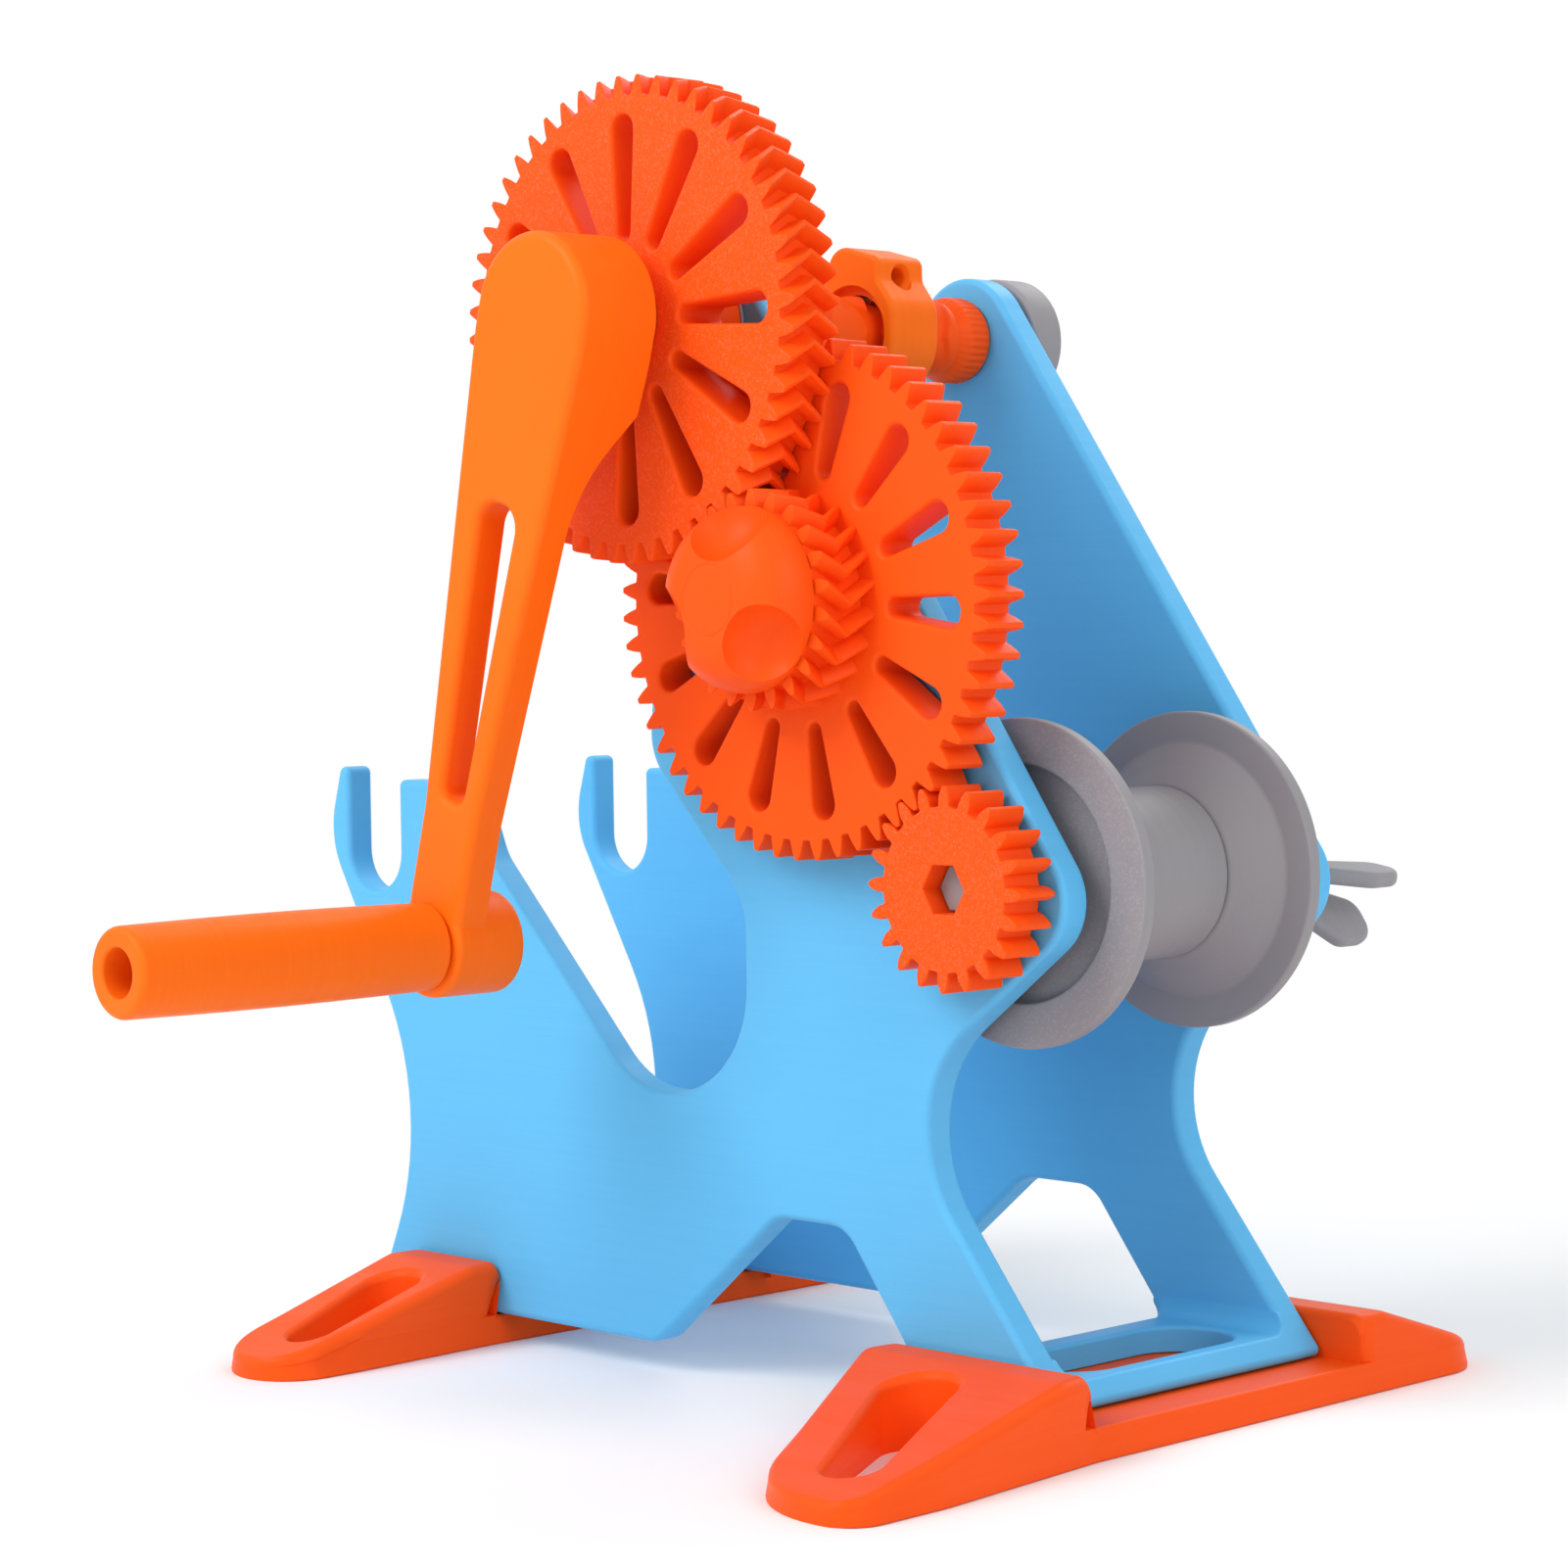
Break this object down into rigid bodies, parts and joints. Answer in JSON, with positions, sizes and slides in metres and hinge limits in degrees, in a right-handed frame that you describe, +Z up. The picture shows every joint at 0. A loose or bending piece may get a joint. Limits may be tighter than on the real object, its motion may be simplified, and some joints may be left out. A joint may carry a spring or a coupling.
{
  "type": "filament spool winder",
  "caption": "Hand-cranked bench winder in blue, orange and grey plastic: crank, gear train, traverse guide and flanged spool between two side plates on slotted feet.",
  "frame": {"origin": "on the sole of the front foot, under the spool axle and midway between the side plates", "axes": "+X from the rod hooks at the back to the spool axle at the front, +Y from the crank side to the thumb nut side, +Z up"},
  "size_m": [0.264, 0.2788, 0.2971],
  "materials": {
    "blue_plastic": "satin, with fine layer lines",
    "orange_plastic": "satin, with fine layer lines and some grainy faces",
    "amber_plastic": "satin, with fine layer lines",
    "grey_plastic": "satin, with fine layer lines and one grainy flange"
  },
  "bodies": {
    "frame": {"near_side_plate": "blue_plastic", "far_side_plate": "blue_plastic", "front_cross_member": "blue_plastic", "rear_cross_member": "blue_plastic", "front_foot": "orange_plastic", "rear_foot": "orange_plastic", "gear_stud": "grey_plastic", "screw_near_bush": "grey_plastic", "screw_far_bush": "grey_plastic", "axle_near_bush": "grey_plastic", "axle_far_bush": "grey_plastic"},
    "crank": {"drive_gear": "orange_plastic", "crank_arm": "amber_plastic", "crank_pin": "amber_plastic", "crank_spacer": "orange_plastic", "drive_gear_sleeve": "orange_plastic", "traverse_screw": "orange_plastic", "screw_collar": "orange_plastic", "screw_end_knob": "grey_plastic"},
    "handle": {"crank_handle": "amber_plastic"},
    "compound": {"compound_gear": "orange_plastic"},
    "knob": {"gear_knob": "orange_plastic"},
    "spool": {"near_cone": "grey_plastic", "far_cone": "grey_plastic", "axle_spacer": "grey_plastic", "spool_axle": "grey_plastic", "spool_gear": "orange_plastic"},
    "nut": {"thumb_nut": "grey_plastic"},
    "guide": {"guide_block": "amber_plastic", "pawl_cap": "amber_plastic"},
    "pawl": {"guide_pawl": "amber_plastic"}
  },
  "joints": [
    {"name": "crank_spin", "type": "hinge", "parent": "frame", "child": "crank", "pos_m": [-0.08197, 0, 0.24309], "axis": [0, 1, 0], "continuous": true},
    {"name": "handle_spin", "type": "hinge", "parent": "crank", "child": "handle", "pos_m": [-0.12093, -0.14, 0.10352], "axis": [0, 1, 0], "continuous": true},
    {"name": "compound_spin", "type": "hinge", "parent": "frame", "child": "compound", "pos_m": [-0.04264, -0.06, 0.1804], "axis": [0, 1, 0], "continuous": true},
    {"name": "spool_spin", "type": "hinge", "parent": "frame", "child": "spool", "pos_m": [0, 0, 0.1187], "axis": [0, 1, 0], "continuous": true},
    {"name": "gear_knob_turn", "type": "hinge", "parent": "frame", "child": "knob", "pos_m": [-0.04264, -0.078, 0.1804], "axis": [0, 1, 0], "continuous": true},
    {"name": "thumb_nut_turn", "type": "hinge", "parent": "spool", "child": "nut", "pos_m": [0, 0.055, 0.1187], "axis": [0, 1, 0], "continuous": true},
    {"name": "guide_slide", "type": "slide", "parent": "frame", "child": "guide", "axis": [0, 1, 0], "range_m": [-0.03582, 0.00558]},
    {"name": "pawl_swivel", "type": "hinge", "parent": "guide", "child": "pawl", "pos_m": [-0.09397, 0.00702, 0.24309], "axis": [1, 0, 0], "range_deg": [-30, 30]}
  ],
  "couplings": [
    {"joint": "compound_spin", "follows": "crank_spin", "ratio": -2.3636},
    {"joint": "spool_spin", "follows": "crank_spin", "ratio": 6.5}
  ]
}
